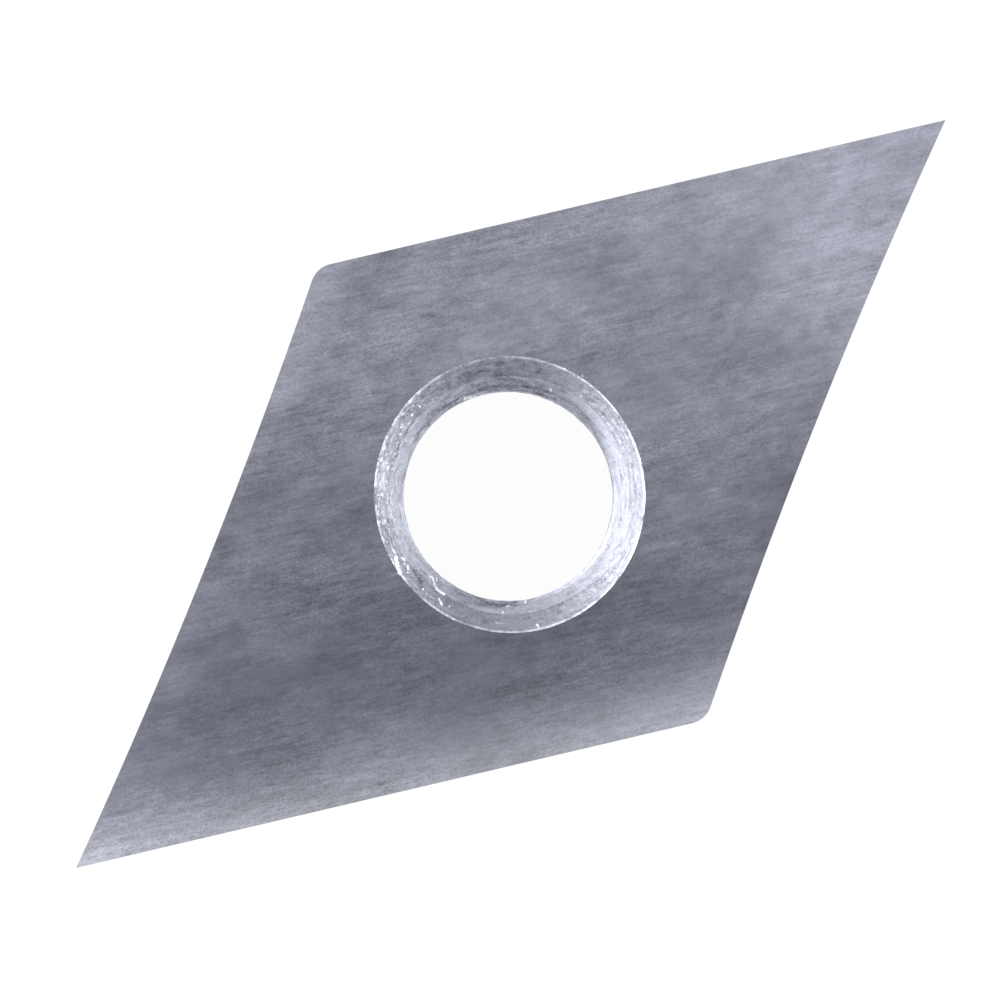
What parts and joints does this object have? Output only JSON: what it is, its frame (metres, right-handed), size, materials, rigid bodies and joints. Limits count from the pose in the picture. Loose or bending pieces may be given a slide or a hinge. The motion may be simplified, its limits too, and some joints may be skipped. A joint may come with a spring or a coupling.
{
  "type": "carbide insert",
  "caption": "Flat rhombic carbide cutting insert with sharp points, straight and hollow-ground edges, relieved flanks and a countersunk centre screw hole.",
  "frame": {"origin": "on the screw hole's axis, at the seat face that rests in the holder's pocket", "axes": "+Z out of the rake face along the screw hole, +X along the long diagonal to a sharp point, +Y to a blunt corner"},
  "size_m": [0.024, 0.0124, 0.0025],
  "materials": {
    "ground_carbide": "satin"
  },
  "bodies": {
    "root": {"carbide_insert": "ground_carbide"}
  },
  "joints": []
}
